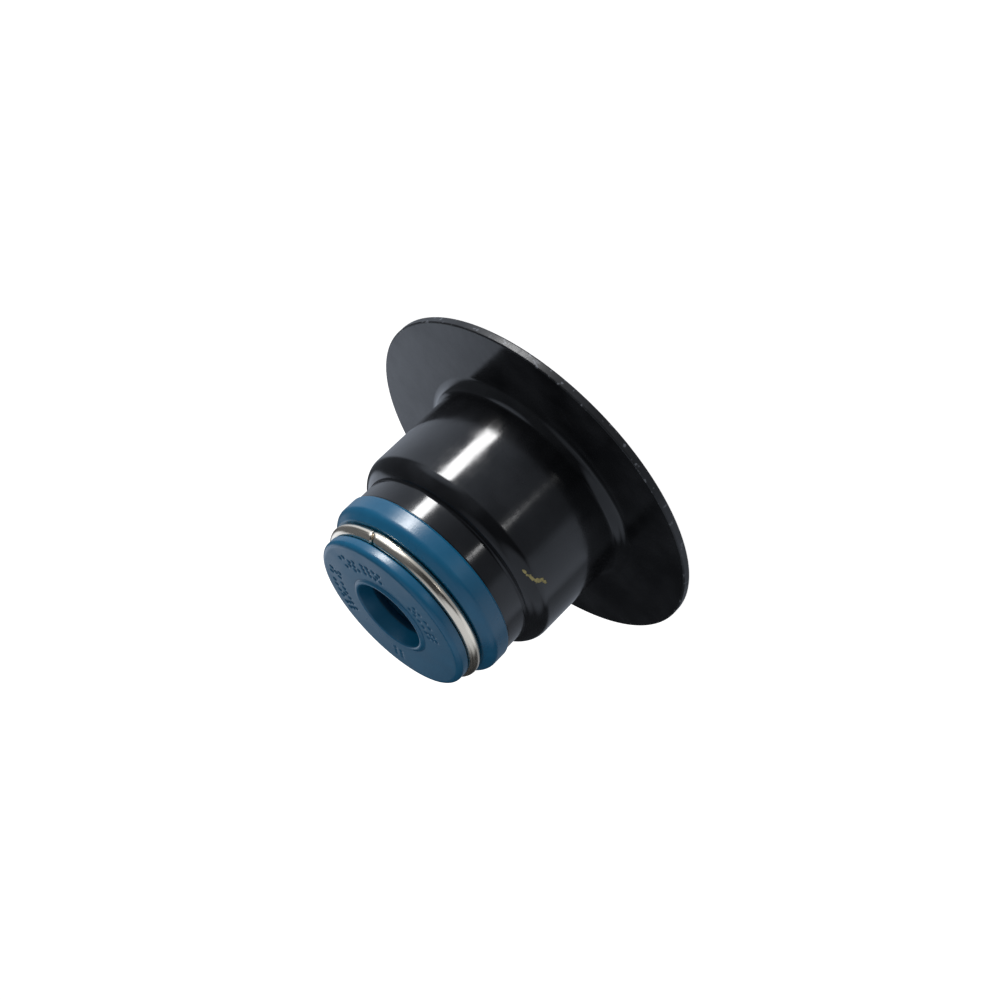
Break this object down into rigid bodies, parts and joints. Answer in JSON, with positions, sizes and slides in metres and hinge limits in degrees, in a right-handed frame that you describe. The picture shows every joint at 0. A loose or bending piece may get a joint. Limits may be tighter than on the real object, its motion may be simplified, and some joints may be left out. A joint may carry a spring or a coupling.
{
  "type": "valve stem seal",
  "caption": "Valve stem seal: a drawn steel shell with a wide spring seat flange, a moulded rubber seal on its neck and a split wire ring in the seal's groove.",
  "frame": {"origin": "centre of the flange underside, on the valve stem's axis", "axes": "+Z along the valve stem, from the flange towards the seal's nose; X and Y are free, and the wire ring's joint stands at about 313 degrees from +X"},
  "size_m": [0.041, 0.041, 0.0225],
  "materials": {
    "shell_paint": "gloss black coating",
    "seal_rubber": "moulded, satin",
    "ring_steel": "bright drawn wire"
  },
  "bodies": {
    "root": {"steel_shell": "shell_paint", "rubber_seal": "seal_rubber", "wire_ring": "ring_steel"}
  },
  "joints": []
}
